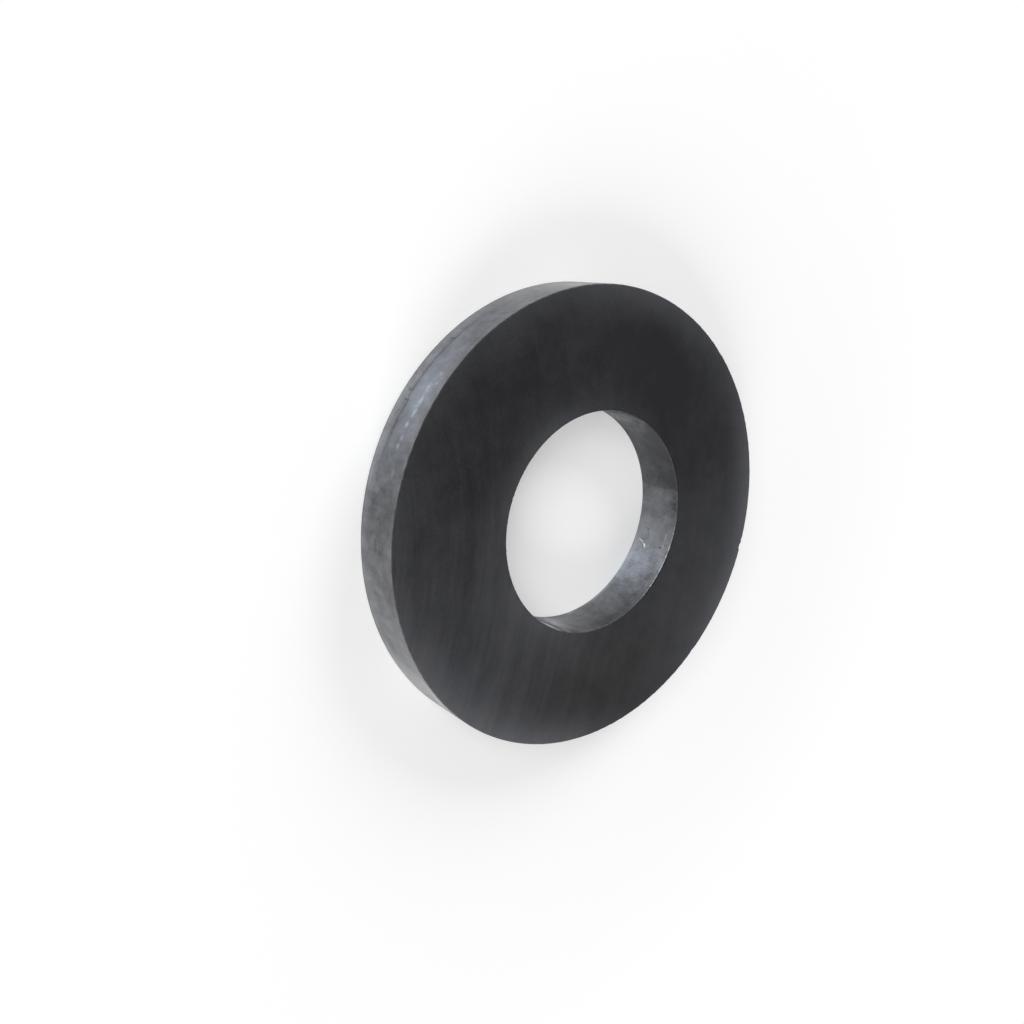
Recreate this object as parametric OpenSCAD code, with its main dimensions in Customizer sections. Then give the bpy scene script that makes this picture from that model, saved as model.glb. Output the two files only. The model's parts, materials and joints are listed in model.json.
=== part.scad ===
// Ring magnet: one pressed and fired ferrite ring, ground flat on both faces.
// It lies on its rear face at z = 0 with its axis along +Z, so the front face
// looks up. Every edge is lightly worn, the front rim has a few shallow chips,
// and a short lamination crack runs round the outer wall just above the rear
// face, steps up once on its way and drops a few spurs.

/* [Ring] */
// Outside diameter
outer_d = 60; // [45:0.5:100]
// Bore diameter
bore_d = 29.2; // [12:0.2:36]
// Thickness between the two ground faces
ring_t = 7; // [5:0.1:16]

/* [Edges] */
// Radius worn on the two outer edges
outer_edge_r = 0.1; // [0.05:0.01:0.6]
// Radius worn on the two bore edges
bore_edge_r = 0.1; // [0.05:0.01:0.6]

/* [Rim chips] */
// Length of the deepest chip, along the rim
chip_l = 1.45; // [0.8:0.05:2]
// Depth of the deepest chip, into the corner of the rim
chip_d = 0.23; // [0.12:0.01:0.36]

/* [Lamination crack] */
// Height of the crack's middle above the rear face
crack_z = 1.9; // [1.4:0.05:3.5]
// Width of the crack where it opens on the wall
crack_w = 0.16; // [0.06:0.02:0.3]
// Depth of the crack
crack_depth = 0.12; // [0.06:0.02:0.3]
// How far the crack drops along its whole course
crack_drop = 1.05; // [0:0.05:1.5]
// How far the crack steps back up where it breaks off and starts again
crack_step = 0.35; // [0:0.05:0.8]
// Where that step is, as a share of the crack's course
crack_step_at = 0.6; // [0.2:0.05:0.8]
// Direction in which the crack starts, in degrees from +X
crack_start = -131; // [-175:1:-60]
// How far the crack runs round the axis, in degrees
crack_sweep = 47; // [14:1:90]

/* [Hidden] */

// Smoothness of the revolved walls, and of each worn edge
$fn = 180;
edge_steps = 4;

outer_r = outer_d / 2;
bore_r = bore_d / 2;

// Each chip on the front rim: its direction in degrees from +X, and its length
// and its depth as shares of the deepest one's.
CHIPS = [
    [63.4, 1.03, 0.57], [73.4, 0.70, 0.35], [96.8, 1.00, 1.00],
    [98.9, 0.80, 0.58], [157.2, 1.25, 0.42]
];

// The crack is a chain of short straight-sided runs that hop up and down.
crack_runs = 14;
crack_hop = crack_w * 0.7;
crack_overlap = 0.4;

// Each spur that runs down from the crack: where it starts, as a share of the
// crack's course, and its length. A spur is finer than the crack.
SPURS = [[0.245, 0.85], [0.56, 0.8], [0.61, 1.0]];
spur_w = crack_w * 0.7;
spur_depth = crack_depth * 0.7;

// Points of a quarter round about centre c, from angle a to a + 90 degrees.
function worn_corner(c, r, a) = [
    for (i = [0 : edge_steps])
        c + r * [cos(a + 90 * i / edge_steps), sin(a + 90 * i / edge_steps)]
];

// Half section of the ring in the plane that holds the axis.
function ring_section() = concat(
    worn_corner([outer_r - outer_edge_r, outer_edge_r], outer_edge_r, -90),
    worn_corner([outer_r - outer_edge_r, ring_t - outer_edge_r], outer_edge_r, 0),
    worn_corner([bore_r + bore_edge_r, ring_t - bore_edge_r], bore_edge_r, 90),
    worn_corner([bore_r + bore_edge_r, bore_edge_r], bore_edge_r, 180)
);

// Height of the crack, s of the way along it, before it hops.
function crack_height(s) =
    crack_z + crack_drop * (0.5 - s) + (s > crack_step_at ? crack_step : 0);

// The whole ring as it leaves the grinder, with worn edges.
module fired_ring() {
    rotate_extrude()
        polygon(ring_section());
}

// A shallow rounded scoop out of the corner of the front rim. The ball that
// leaves it has the radius of an arc with this length and this depth.
module rim_chip(direction, length, depth) {
    scoop_r = (length * length / 4 + depth * depth) / (2 * depth);
    step_out = (scoop_r - depth) / sqrt(2);
    rotate([0, 0, direction])
        translate([outer_r + step_out, 0, ring_t + step_out])
            sphere(scoop_r, $fn = 32);
}

// One run of the crack: a V groove swept part of the way round the wall.
module crack_run(height, from_angle, sweep) {
    rotate([0, 0, from_angle])
        rotate_extrude(angle = sweep)
            polygon([
                [outer_r - crack_depth, height],
                [outer_r + crack_depth, height - crack_w],
                [outer_r + crack_depth, height + crack_w]
            ]);
}

// A spur: a finer V groove that runs straight down from the crack.
module crack_spur(share, length) {
    rotate([0, 0, crack_start + share * crack_sweep])
        translate([outer_r, 0, crack_height(share) - length])
            linear_extrude(length)
                polygon([[-spur_depth, 0], [spur_depth, -spur_w], [spur_depth, spur_w]]);
}

// The lamination crack, which drops, hops from run to run and steps up once.
module lamination_crack() {
    run_sweep = crack_sweep / crack_runs;
    for (i = [0 : crack_runs - 1])
        crack_run(
            crack_height((i + 0.5) / crack_runs) + crack_hop * (i % 2 - 0.5),
            crack_start + i * run_sweep,
            run_sweep + crack_overlap
        );
    for (spur = SPURS)
        crack_spur(spur[0], spur[1]);
}

// The ring magnet, one solid piece of ferrite.
module magnet_ring() {
    color("#46484b")
        difference() {
            fired_ring();
            for (chip = CHIPS)
                rim_chip(chip[0], chip[1] * chip_l, chip[2] * chip_d);
            lamination_crack();
        }
}

magnet_ring();
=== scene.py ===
"""Dresses the ring magnet: a fired ferrite ring, ground on both faces, with worn edges, nicks and a crack.

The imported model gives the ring's size and place. This script builds the ring again as one fine mesh of
the same size, with its small damage cut in, and gives it the finish of ground and of fired ferrite.
"""

import json
import logging
import math
from abc import ABC, abstractmethod
from dataclasses import dataclass, field
from enum import Enum
from typing import Any, Sequence

import bpy
import numpy as np
from mathutils import Euler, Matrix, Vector


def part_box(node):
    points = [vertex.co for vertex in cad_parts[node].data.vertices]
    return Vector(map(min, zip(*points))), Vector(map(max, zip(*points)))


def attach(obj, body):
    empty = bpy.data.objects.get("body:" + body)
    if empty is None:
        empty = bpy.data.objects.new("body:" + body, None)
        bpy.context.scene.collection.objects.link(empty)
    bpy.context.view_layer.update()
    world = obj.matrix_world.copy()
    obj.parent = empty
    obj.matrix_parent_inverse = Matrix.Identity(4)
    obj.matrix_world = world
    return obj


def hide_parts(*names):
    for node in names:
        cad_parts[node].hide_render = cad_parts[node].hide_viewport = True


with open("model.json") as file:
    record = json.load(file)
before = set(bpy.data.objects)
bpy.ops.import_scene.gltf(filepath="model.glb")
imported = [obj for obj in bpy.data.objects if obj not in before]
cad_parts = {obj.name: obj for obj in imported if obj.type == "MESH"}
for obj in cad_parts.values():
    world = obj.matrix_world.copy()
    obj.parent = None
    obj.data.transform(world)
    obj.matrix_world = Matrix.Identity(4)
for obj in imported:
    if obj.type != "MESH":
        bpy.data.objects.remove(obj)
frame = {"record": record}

Number = float | int
Colour = tuple[float, float, float]

MM = 0.001
WHITE: Colour = (1.0, 1.0, 1.0)
log = logging.getLogger("ring_magnet")


# ---------------------------------------------------------------------------------------------------------
# Shader maths
# ---------------------------------------------------------------------------------------------------------


class Wire:
    """A socket of a node graph that can be used in arithmetic, each operation adding one Math node."""

    def __init__(self, graph: "Graph", socket: bpy.types.NodeSocket) -> None:
        """Wraps a socket.

        Args:
            graph: The graph that the socket is in.
            socket: The output socket that carries the value.
        """
        self.graph = graph
        self.socket = socket

    def maths(self, operation: str, *values: "Wire | Number", clamp: bool = False) -> "Wire":
        """Adds a Math node.

        Args:
            operation: The Math node's operation.
            values: Its inputs in order.
            clamp: Whether the result is held between 0 and 1.

        Returns:
            The node's result.
        """
        settings = {"operation": operation, "use_clamp": clamp}
        return self.graph.wire(self.graph.node("ShaderNodeMath", settings, *values))

    def __add__(self, other: "Wire | Number") -> "Wire":
        """Returns self + other."""
        return self.maths("ADD", self, other)

    def __radd__(self, other: Number) -> "Wire":
        """Returns other + self."""
        return self.maths("ADD", other, self)

    def __sub__(self, other: "Wire | Number") -> "Wire":
        """Returns self - other."""
        return self.maths("SUBTRACT", self, other)

    def __rsub__(self, other: Number) -> "Wire":
        """Returns other - self."""
        return self.maths("SUBTRACT", other, self)

    def __mul__(self, other: "Wire | Number") -> "Wire":
        """Returns self * other."""
        return self.maths("MULTIPLY", self, other)

    def __rmul__(self, other: Number) -> "Wire":
        """Returns other * self."""
        return self.maths("MULTIPLY", other, self)

    def __truediv__(self, other: "Wire | Number") -> "Wire":
        """Returns self / other."""
        return self.maths("DIVIDE", self, other)

    def __rtruediv__(self, other: Number) -> "Wire":
        """Returns other / self."""
        return self.maths("DIVIDE", other, self)

    def __pow__(self, other: Number) -> "Wire":
        """Returns self to the power of other."""
        return self.maths("POWER", self, other)

    def __rpow__(self, other: Number) -> "Wire":
        """Returns other to the power of self."""
        return self.maths("POWER", other, self)

    def clamped(self) -> "Wire":
        """Returns self held between 0 and 1."""
        return self.maths("ADD", self, 0.0, clamp=True)

    def swing(self, weight: Number) -> "Wire":
        """Returns how far a noise lies above its middle value of 0.5, times a weight."""
        return (self - 0.5) * weight

    def smooth(self, low: Number, high: Number) -> "Wire":
        """Rises smoothly from 0 at low to 1 at high.

        Args:
            low: The value that gives 0.
            high: The value that gives 1. It may be the smaller one.

        Returns:
            The eased value.
        """
        falls = high < low
        node = self.graph.node(
            "ShaderNodeMapRange", {"interpolation_type": "SMOOTHSTEP"}, Value=self,
            From_Min=min(low, high), From_Max=max(low, high),
            To_Min=float(falls), To_Max=float(not falls),
        )
        return self.graph.wire(node, "Result")

    def bell(self, centre: Number, spread: Number) -> "Wire":
        """Returns a bell curve of self: 1 at centre, and about a third at spread from it."""
        offset = (self - centre) / spread
        return self.maths("EXPONENT", offset * offset * -1.0)


class Graph:
    """A node tree and the means to fill it."""

    def __init__(self, tree: bpy.types.NodeTree, output: str) -> None:
        """Empties the tree and adds its output.

        Args:
            tree: The node tree.
            output: The type of its output node.
        """
        self.tree = tree
        self.tree.nodes.clear()
        self.output = self.node(output)

    def node(
        self, kind: str, settings: dict[str, Any] | None = None, *ordered: Any, **named: Any
    ) -> bpy.types.Node:
        """Adds one node.

        Args:
            kind: The node's type.
            settings: Its own settings, which are made first.
            ordered: What feeds its inputs, in their order.
            named: What feeds its inputs, by their names with underscores for spaces.

        Returns:
            The node.
        """
        node = self.tree.nodes.new(kind)
        for key, value in (settings or {}).items():
            setattr(node, key, value)
        for socket, source in zip(node.inputs, ordered):
            self.feed(socket, source)
        for name, source in named.items():
            wanted = name.replace("_", " ")
            self.feed(next(s for s in node.inputs if s.name == wanted and s.enabled), source)
        return node

    def feed(self, socket: bpy.types.NodeSocket, source: Any) -> None:
        """Feeds one input.

        Args:
            socket: The input.
            source: A plain value, a wire, a socket, or a node, which stands for its first output.
        """
        if isinstance(source, Wire):
            source = source.socket
        elif isinstance(source, bpy.types.Node):
            source = source.outputs[0]
        if isinstance(source, bpy.types.NodeSocket):
            self.tree.links.new(source, socket)
        elif socket.type == "RGBA":
            socket.default_value = (*source, 1.0)
        else:
            socket.default_value = source

    def wire(self, node: bpy.types.Node, output: str | int = 0) -> Wire:
        """Wraps an output of a node."""
        return Wire(self, node.outputs[output])

    def mix(self, under: "Colour | Wire", over: "Colour | Wire", factor: Wire) -> Wire:
        """Mixes two colours.

        Args:
            under: The colour at factor 0.
            over: The colour at factor 1.
            factor: How much of over shows.

        Returns:
            The mixed colour.
        """
        node = self.node("ShaderNodeMix", {"data_type": "RGBA"}, Factor=factor, A=under, B=over)
        return Wire(self, next(s for s in node.outputs if s.enabled))

    def multiply(self, colour: Wire, tint: Wire) -> Wire:
        """Returns a colour multiplied by a tint, through Vector Math."""
        return self.wire(self.node("ShaderNodeVectorMath", {"operation": "MULTIPLY"}, colour, tint))

    def tinted(self, colour: Wire, tint: Colour, amount: Wire) -> Wire:
        """Returns a colour with an amount of a tint, from 0 to 1."""
        return self.multiply(colour, self.mix(WHITE, tint, amount))

    def blend(self, under: bpy.types.Node, over: bpy.types.Node, factor: Wire) -> bpy.types.Node:
        """Returns a mix of two shaders: under at factor 0, over at factor 1."""
        return self.node("ShaderNodeMixShader", None, factor, under, over)

    def seen_directly(self) -> Wire:
        """Returns 1 for what the camera sees directly, and 0 for the light that falls on the ring."""
        return self.wire(self.node("ShaderNodeLightPath"), "Is Camera Ray")

    def show(self, shader: bpy.types.Node) -> None:
        """Joins a shader to the output."""
        self.feed(self.output.inputs["Surface"], shader)


class Recipe(Graph):
    """The node graph of a new material."""

    def __init__(self, name: str) -> None:
        """Starts the material.

        Args:
            name: The material's name.
        """
        self.material = bpy.data.materials.new(name)
        self.material.use_nodes = True
        super().__init__(self.material.node_tree, "ShaderNodeOutputMaterial")

    def finish(self, shader: bpy.types.Node) -> bpy.types.Material:
        """Joins a shader to the output and returns the material."""
        self.show(shader)
        return self.material


# ---------------------------------------------------------------------------------------------------------
# What the finishes are made of
# ---------------------------------------------------------------------------------------------------------


@dataclass(frozen=True)
class Noise:
    """A noise, whose values lie mostly between 0.3 and 0.7.

    Attributes:
        size: Size of its features, in mm.
        seed: Where in the noise it is read.
        detail: Number of octaves.
        roughness: Weight of the finer octaves.
        stretch: How much longer the features are along X, Y and Z.
        cut: The values between which it is cut to soft patches of 1 on 0, or none to leave it.
        tone: How far it swings the tone of a finish.
        relief: How far it swings the fine relief of a finish.
    """

    size: float
    seed: float = 0.0
    detail: float = 2.0
    roughness: float = 0.5
    stretch: tuple[float, float, float] = (1.0, 1.0, 1.0)
    cut: tuple[float, float] | None = None
    tone: float = 0.0
    relief: float = 0.0


@dataclass(frozen=True)
class Spot:
    """A soft round patch on a surface that is paler or darker than the rest.

    Attributes:
        direction: Its middle, in degrees round the axis from +X.
        place: Its middle across the surface: a height on a wall, a radius on a face, in mm.
        spread: Half its width round the axis, in degrees.
        reach: Half its width across the surface, in mm.
        tone: How much it adds to the tone of the surface, which runs from 0 to 1.
    """

    direction: float
    place: float
    spread: float
    reach: float
    tone: float


@dataclass(frozen=True)
class Band:
    """A stretch of wall with a paler or darker tone and fewer blotches, which can end sharply.

    Attributes:
        start: Where it begins, in degrees round the axis from +X.
        end: Where it ends, in degrees, more than start.
        start_ease: Over how many degrees it comes in.
        end_ease: Over how many degrees it goes out.
        tone: How much it adds to the tone of the surface.
        calm: How much of the blotches it takes away, from 0 to 1.
        top: The height at which it fades out, in mm. The plain one is above any wall.
        top_ease: Half the height over which it fades out, in mm.
        top_bend: How far its top bends for each degree by which its ends bend, in mm.
    """

    start: float
    end: float
    start_ease: float
    end_ease: float
    tone: float
    calm: float
    top: float = 99.0
    top_ease: float = 0.7
    top_bend: float = 0.1


@dataclass(frozen=True)
class RubMark:
    """A line of small pale dashes where something hard has rubbed along a wall: smoother, with a painted
    highlight.

    Attributes:
        start: Where it begins, in degrees round the axis from +X.
        end: Where it ends, in degrees, more than start.
        start_height: Its height where it begins, in mm.
        end_height: Its height where it ends, in mm.
        width: Half its width, in mm.
        dash: Length of its dashes, in mm.
        dash_cut: The values of the noise between which a dash comes in.
        strength: How strong its painted highlight is, from 0 to 1.
        between: How strong its painted highlight is between the dashes, as a share of the dashes.
        fade: Over what share of half its length each end fades.
        waver: How it strays from its line. Its tone is how far, in mm.
    """

    start: float
    end: float
    start_height: float
    end_height: float
    width: float
    dash: float
    strength: float
    dash_cut: tuple[float, float] = (0.38, 0.62)
    between: float = 0.26
    fade: float = 0.3
    waver: Noise = Noise(0.8, seed=3.0, detail=1.0, tone=0.4)


class Mark(Enum):
    """What damage has done to the skin, with its painted highlights and shade, kept on the mesh for the
    finishes to read.
    """

    # Breaks, and painted highlights on worn edges, nicks and the gouge's lip.
    FRESH = "fresh"
    # Painted shade in the crack, the pore and the gouge's groove, and the dark scuff.
    SUNK = "sunk"


class RingCoordinates:
    """Cylinder coordinates about the ring's axis, in millimetres and degrees, for a material.

    Attributes:
        SEED_WAY: Which way a seed moves the place where a noise is read.
        HALF_TURN: The furthest that a point lies round the axis from a direction, in degrees.
    """

    SEED_WAY = (1.0, 0.7, 1.3)
    HALF_TURN = 180.0

    def __init__(self, graph: Graph) -> None:
        """Reads the object's own coordinates.

        Args:
            graph: The node graph that they are for.
        """
        self.graph = graph
        place = graph.node("ShaderNodeTexCoord").outputs["Object"]
        scaled = graph.node("ShaderNodeVectorMath", {"operation": "SCALE"}, Vector=place, Scale=1 / MM)
        self.point = graph.wire(scaled)
        parts = graph.node("ShaderNodeSeparateXYZ", None, self.point)
        self.x, self.y, self.z = (graph.wire(parts, axis) for axis in "XYZ")
        self.radius, turn = self.polar(self.x, self.y)
        self.angle = turn * math.degrees(1.0)

    @staticmethod
    def polar(x: Wire, y: Wire) -> tuple[Wire, Wire]:
        """Returns how far a point lies from an axis, and its direction in radians."""
        return (x * x + y * y) ** 0.5, x.maths("ARCTAN2", y, x)

    def turned_from(self, direction: float) -> Wire:
        """Returns how far a point lies round the axis from a direction, from -180 to 180 degrees."""
        turned = self.angle - direction
        return turned.maths("WRAP", turned, self.HALF_TURN, -self.HALF_TURN)

    def spots(self, across: Wire, spots: Sequence[Spot]) -> "Wire | Number":
        """Adds up soft patches.

        Args:
            across: The coordinate across the surface that the patches' places are measured in.
            spots: The patches.

        Returns:
            The sum of their tones at each point.
        """
        total: Wire | Number = 0.0
        for spot in spots:
            round_axis = self.turned_from(spot.direction).bell(0.0, spot.spread)
            total = round_axis * across.bell(spot.place, spot.reach) * spot.tone + total
        return total

    def between(
        self, start: float, end: float, start_ease: float, end_ease: float, bends: "Wire | Number" = 0.0
    ) -> Wire:
        """Returns 1 between two directions and 0 beyond them.

        Args:
            start: The first direction, in degrees.
            end: The second direction, in degrees, more than start.
            start_ease: Over how many degrees the value rises.
            end_ease: Over how many degrees it falls.
            bends: How far both ends are bent aside at each point, in degrees.

        Returns:
            The value at each point.
        """
        middle, half = (start + end) / 2, (end - start) / 2
        turned = self.turned_from(middle) + bends
        rise = turned.smooth(-half - start_ease / 2, -half + start_ease / 2)
        return rise * turned.smooth(half + end_ease / 2, half - end_ease / 2)

    def bands(self, bands: Sequence[Band], bends: Wire) -> "tuple[Wire | Number, Wire | Number]":
        """Adds up bands of wall.

        Args:
            bands: The bands.
            bends: How far their ends are bent aside at each point, in degrees.

        Returns:
            The sum of their tones and the sum of their calm at each point.
        """
        tone: Wire | Number = 0.0
        calm: Wire | Number = 0.0
        for band in bands:
            inside = self.between(band.start, band.end, band.start_ease, band.end_ease, bends)
            below_top = (self.z + bends * band.top_bend).smooth(
                band.top + band.top_ease, band.top - band.top_ease
            )
            inside = inside * below_top
            tone = inside * band.tone + tone
            calm = inside * band.calm + calm
        return tone, calm

    def rubbed(self, marks: Sequence[RubMark]) -> "Wire | Number":
        """Draws rub marks as painted highlights.

        Args:
            marks: The rub marks.

        Returns:
            How much painted highlight each point has, from 0 to 1.
        """
        total: Wire | Number = 0.0
        for mark in marks:
            slope = (mark.end_height - mark.start_height) / (mark.end - mark.start)
            middle, half = (mark.start + mark.end) / 2, (mark.end - mark.start) / 2
            height = self.turned_from(middle) * slope + (mark.start_height + mark.end_height) / 2
            waver = self.noise(mark.waver).swing(mark.waver.tone)
            line = (self.z - height + waver).bell(0.0, mark.width)
            dashes = self.noise(Noise(mark.dash, detail=1.0, cut=mark.dash_cut))
            shine = dashes * (1 - mark.between) + mark.between
            ends = self.between(mark.start, mark.end, half * mark.fade, half * mark.fade)
            total = line * shine * ends * mark.strength + total
        return total

    def noise(self, noise: Noise, seed: float = 0.0, point: Wire | None = None) -> Wire:
        """Adds a noise.

        Args:
            noise: The noise.
            seed: How far beyond its own seed it is read.
            point: The point that it is read at, or none for the point on the ring.

        Returns:
            Its value.
        """
        place = self.graph.node(
            "ShaderNodeMapping", {"vector_type": "POINT"}, Vector=point or self.point,
            Location=tuple((noise.seed + seed) * way for way in self.SEED_WAY),
            Scale=tuple(1 / (noise.size * stretch) for stretch in noise.stretch),
        )
        node = self.graph.node(
            "ShaderNodeTexNoise", Vector=place, Scale=1.0, Detail=noise.detail, Roughness=noise.roughness
        )
        value = self.graph.wire(node, "Fac")
        return value.smooth(*noise.cut) if noise.cut else value

    def wheel_arcs(self, centre: tuple[float, float], noise: Noise) -> Wire:
        """Adds the arcs that a grinding wheel leaves: a noise drawn out round the wheel's centre.

        Args:
            centre: The wheel's centre as x and y, in mm from the ring's axis.
            noise: The noise. Its first stretch is that along the arcs.

        Returns:
            Its value.
        """
        reach, turn = self.polar(self.x - centre[0], self.y - centre[1])
        place = self.graph.node("ShaderNodeCombineXYZ", None, turn * math.hypot(*centre), reach)
        return self.noise(noise, point=self.graph.wire(place))

    def mark(self, mark: Mark) -> Wire:
        """Reads one kind of damage from the mesh."""
        node = self.graph.node("ShaderNodeAttribute", {"attribute_name": mark.value})
        return self.graph.wire(node, "Fac")


# ---------------------------------------------------------------------------------------------------------
# Finishes
# ---------------------------------------------------------------------------------------------------------


@dataclass(frozen=True)
class Layers:
    """What a finish of ferrite works out for each point.

    Attributes:
        colour: Colour of the sound surface.
        fresh: How pale a break, a rub or a painted highlight makes a point, from 0 to 1.
        rough: Its roughness.
        relief: Height of its fine relief.
    """

    colour: Wire
    fresh: Wire
    rough: Wire
    relief: Wire


@dataclass(frozen=True)
class Ferrite(ABC):
    """A finish of ferrite, whose colour goes from dark to pale with a tone that runs from 0 to 1.

    Attributes:
        name: Name of its material.
        dark: Colour of the darkest clouds.
        pale: Colour of the palest ones, and of paler places, painted highlights among them.
        broken: Colour of new breaks and of rubbed places, and of the painted highlights on edges, nicks,
            rub marks and glints.
        deep: Colour of the painted shade in cracks, pits and the gouge's groove, and of the scuff.
        base_tone: The tone of a plain place.
        roughness: Roughness of a plain place.
        gloss_swing: How far the clouds swing the roughness.
        relief: Strength of the fine relief.
        relief_depth: Depth of the fine relief, in mm.
        spots: Soft patches.
        ior: Index of refraction.
    """

    name: str
    dark: Colour
    pale: Colour
    broken: Colour
    deep: Colour
    base_tone: float
    roughness: float
    relief: float
    relief_depth: float
    gloss_swing: float = 0.2
    spots: tuple[Spot, ...] = ()
    ior: float = 1.55

    @abstractmethod
    def layers(self, at: RingCoordinates) -> Layers:
        """Works out what the finish is like at each point.

        Args:
            at: The coordinates of the points.

        Returns:
            Its layers.
        """

    def make(self) -> bpy.types.Material:
        """Builds the material.

        Returns:
            The material.
        """
        recipe = Recipe(self.name)
        at = RingCoordinates(recipe)
        layers = self.layers(at)
        # Breaks and rubs, and the painted highlights, turn pale.
        colour = recipe.mix(layers.colour, self.broken, layers.fresh)
        # The painted shade in cracks, pits and the gouge's groove, and the scuff, turn dark.
        colour = recipe.mix(colour, self.deep, at.mark(Mark.SUNK))
        bump = recipe.node(
            "ShaderNodeBump", Strength=self.relief, Distance=self.relief_depth * MM, Height=layers.relief
        )
        shader = recipe.node(
            "ShaderNodeBsdfPrincipled", Base_Color=colour, Roughness=layers.rough, IOR=self.ior, Normal=bump
        )
        return recipe.finish(shader)


@dataclass(frozen=True)
class GroundFerrite(Ferrite):
    """Ground ferrite: a charcoal face with soft clouds of tone, the faint arcs of the grinding wheel, and
    painted highlight and shade.

    Attributes:
        spots: Soft patches, placed by radius.
        warm: Where the brownish clouds lie.
        warm_tint: Tint of the brownish clouds.
        warm_flecks: How much more the flecks swing the warmth than the clouds do.
        cloud: The broad clouds.
        fleck: The small ones.
        grain: The fine grain.
        wheel: Centre of the grinding wheel as x and y, in mm from the ring's axis.
        broad_arcs: The wheel's broad arcs.
        fine_arcs: The wheel's fine arcs.
        arcs_at: The direction in which the arcs show best, in degrees.
        arcs_spread: Half the width of that part, in degrees.
        arcs_elsewhere: How strong the arcs are on the other side, as a share.
        arcs_gloss: How far the arcs swing the roughness.
    """

    name: str = "ground_face"
    dark: Colour = (0.0076, 0.008, 0.0100)
    pale: Colour = (0.0965, 0.0985, 0.1115)
    broken: Colour = (0.10, 0.102, 0.108)
    deep: Colour = (0.006, 0.006, 0.0065)
    base_tone: float = 0.037
    roughness: float = 0.42
    relief: float = 0.18
    relief_depth: float = 0.02
    spots: tuple[Spot, ...] = (
        # The two paler sides.
        Spot(-25, 22.0, 50, 16.0, 0.27),
        Spot(80, 22.0, 48, 16.0, 0.23),
        # A painted highlight along the rim, beyond which these are centred.
        Spot(-12, 32.0, 36, 4.3, 1.05),
        Spot(12, 32.0, 10, 4.3, 0.20),
        Spot(80, 32.0, 24, 4.3, 0.66),
        Spot(115, 32.0, 28, 4.3, 0.76),
        Spot(172, 32.0, 35, 4.3, 0.50),
        Spot(-150, 32.0, 30, 4.3, 0.25),
        Spot(-100, 32.0, 60, 4.3, 0.16),
        # Paler along the bore.
        Spot(-118, 14.0, 48, 2.6, 0.46),
        Spot(-8, 15.5, 38, 3.0, 0.12),
        Spot(-22, 14.8, 24, 1.2, 0.18),
        # Clouds in between, and a dark line of painted shade beside the bore's edge.
        Spot(152, 22.0, 32, 16.0, -0.065),
        Spot(22, 26.0, 18, 4.0, -0.07),
        Spot(-166, 25.0, 12, 6.0, -0.08),
        Spot(-14, 28.5, 9, 2.5, -0.10),
        Spot(45, 29.0, 9, 1.5, -0.07),
        Spot(-60, 20.5, 8, 3.0, -0.08),
        Spot(-76, 22.0, 6, 4.0, 0.07),
        Spot(15, 21.5, 8, 2.5, -0.05),
        Spot(-105, 25.0, 14, 6.0, -0.02),
        Spot(78, 14.80, 20, 0.14, -0.25),
    )
    warm: tuple[Spot, ...] = (Spot(28, 22.0, 34, 6.0, 0.7), Spot(-78, 22.0, 22, 5.0, 0.4))
    warm_tint: Colour = (1.06, 1.0, 0.86)
    warm_flecks: float = 1.2
    cloud: Noise = Noise(9.0, seed=3.1, detail=3.0, tone=0.28)
    fleck: Noise = Noise(1.6, seed=12.4, detail=3.0, roughness=0.6, tone=0.17)
    grain: Noise = Noise(0.35, seed=7.7, tone=0.19, relief=0.6)
    wheel: tuple[float, float] = (26.0, -71.0)
    broad_arcs: Noise = Noise(
        1.7, seed=1.9, detail=3.0, roughness=0.6, stretch=(18.0 / 1.7, 1, 1), tone=0.42
    )
    fine_arcs: Noise = Noise(
        0.4, seed=6.3, detail=3.0, roughness=0.6, stretch=(8.0 / 0.4, 1, 1), tone=0.2, relief=0.8
    )
    arcs_at: float = -35.0
    arcs_spread: float = 60.0
    arcs_elsewhere: float = 0.2
    arcs_gloss: float = 0.25

    def layers(self, at: RingCoordinates) -> Layers:
        """Clouds the face and draws the wheel's arcs.

        Args:
            at: The coordinates of the points.

        Returns:
            Its layers.
        """
        cloud, fleck, grain = (at.noise(noise) for noise in (self.cloud, self.fleck, self.grain))
        broad, fine = (at.wheel_arcs(self.wheel, noise) for noise in (self.broad_arcs, self.fine_arcs))
        arcs = broad.swing(self.broad_arcs.tone) + fine.swing(self.fine_arcs.tone)
        best = at.turned_from(self.arcs_at).bell(0.0, self.arcs_spread)
        tone = (
            cloud.swing(self.cloud.tone)
            + at.spots(at.radius, self.spots)
            + fleck.swing(self.fleck.tone)
            + grain.swing(self.grain.tone)
            + arcs * (best * (1 - self.arcs_elsewhere) + self.arcs_elsewhere)
            + self.base_tone
        ).clamped()
        warmth = fleck.swing(self.warm_flecks) + cloud.swing(1.0) + at.spots(at.radius, self.warm)
        colour = at.graph.mix(self.dark, self.pale, tone)
        return Layers(
            colour=at.graph.tinted(colour, self.warm_tint, warmth.clamped()),
            fresh=at.mark(Mark.FRESH),
            rough=(self.roughness + cloud.swing(self.gloss_swing) + arcs * self.arcs_gloss).clamped(),
            relief=grain * self.grain.relief + fine * self.fine_arcs.relief,
        )


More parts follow.
